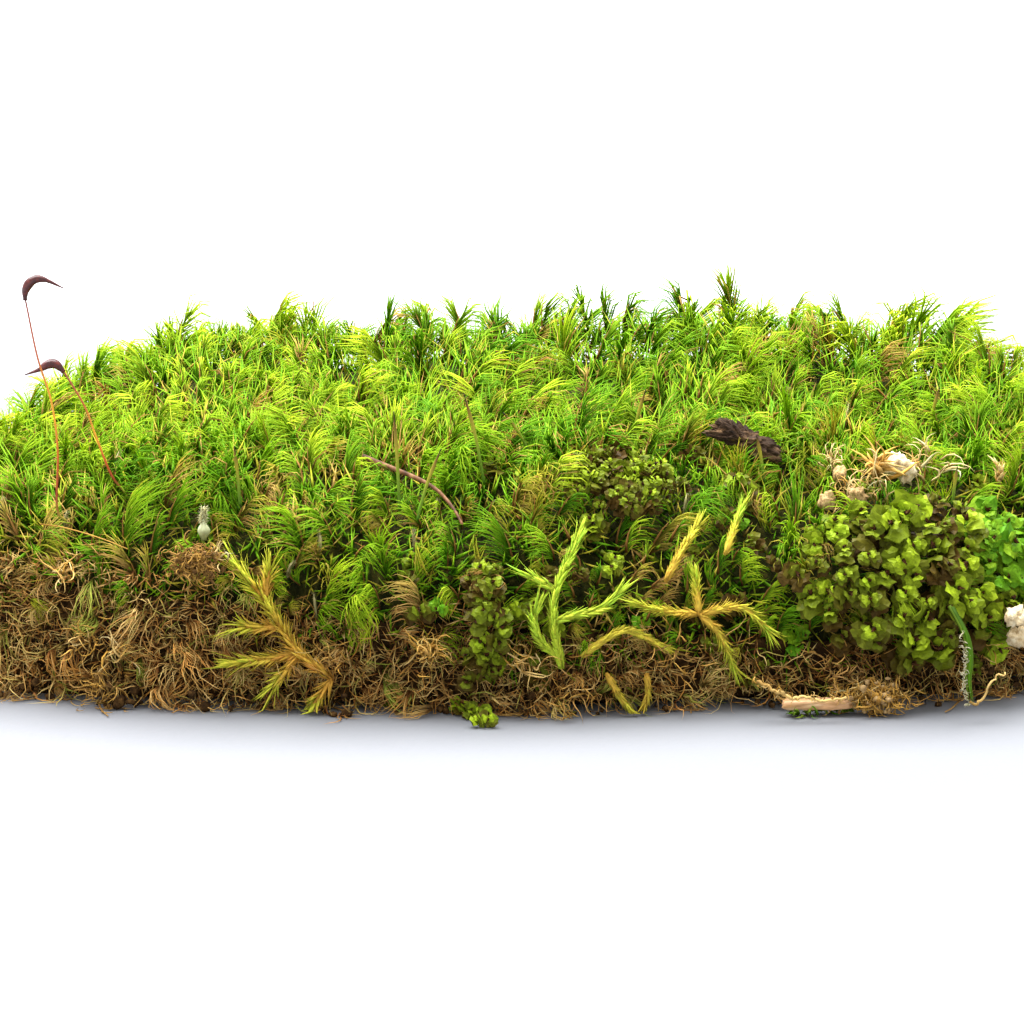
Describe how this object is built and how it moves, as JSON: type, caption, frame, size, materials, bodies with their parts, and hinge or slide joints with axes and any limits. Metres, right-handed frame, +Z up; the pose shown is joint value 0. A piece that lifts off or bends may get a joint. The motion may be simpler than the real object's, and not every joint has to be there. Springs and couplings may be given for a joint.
{
  "type": "moss clump",
  "caption": "Low irregular clump of living forest moss with liverwort, sprigs and spore stalks, cut flat underneath to rest on a level surface.",
  "frame": {"origin": "on the flat underside, below the middle of the clump's bounding box", "axes": "+Z up, away from the surface it rests on; +X along the clump, to the right seen from the front; the front, where the brown layer and the liverwort show, faces -Y"},
  "size_m": [0.1426, 0.0867, 0.0435],
  "materials": {
    "green_moss": "soft, slightly waxy green leaves of live fork moss, tips yellow-green",
    "brown_moss": "dull brown old stems, curled dead leaves and root felt",
    "liverwort": "olive to yellow-green leaves, satin, browned towards their bases",
    "golden_moss": "golden yellow scale leaves on an orange-brown stem, satin",
    "lime_moss": "lime green scale leaves on a brownish stem, satin",
    "stalk": "smooth red-brown stalk, orange towards the middle",
    "capsule": "smooth dark maroon skin, slightly ribbed, satin",
    "needle": "dry pinkish brown needle, dull",
    "bark": "rough dark brown bark with a tan broken patch",
    "pale_wood": "broken pale wood and bud scales, cream to tan, dull",
    "dead_leaf": "dry orange-brown leaf, curled, dull",
    "red_moss": "reddish brown dead moss and rootlets, dull"
  },
  "bodies": {
    "root": {"bark_chip": "bark", "brown_bud": "pale_wood", "brown_mat": "brown_moss", "cream_crumb_1": "pale_wood", "cream_crumb_2": "pale_wood", "cream_crumb_3": "pale_wood", "cream_crumb_4": "pale_wood", "cream_crumb_5": "pale_wood", "cream_crumb_6": "pale_wood", "curved_shoot": "golden_moss", "dead_leaf": "dead_leaf", "golden_shoot": "golden_moss", "lime_shoot": "lime_moss", "liverwort_low": "liverwort", "liverwort_middle": "liverwort", "liverwort_right": "liverwort", "moss_turf": "green_moss", "olive_shoot": "lime_moss", "pine_needle": "needle", "red_litter": "red_moss", "root_tuft": "red_moss", "short_capsule": "capsule", "short_shoot_left": "golden_moss", "short_shoot_right": "golden_moss", "short_stalk": "stalk", "strap_leaf": "lime_moss", "tall_capsule": "capsule", "tall_stalk": "stalk", "upright_shoot_left": "golden_moss", "upright_shoot_right": "golden_moss", "white_bud": "pale_wood", "wood_splinter": "pale_wood", "young_stalk_1": "stalk", "young_stalk_2": "stalk", "young_stalk_3": "stalk", "young_stalk_4": "stalk", "young_stalk_5": "stalk", "young_stalk_6": "stalk", "young_stalk_7": "stalk", "young_stalk_8": "stalk", "young_stalk_9": "stalk"}
  },
  "joints": []
}
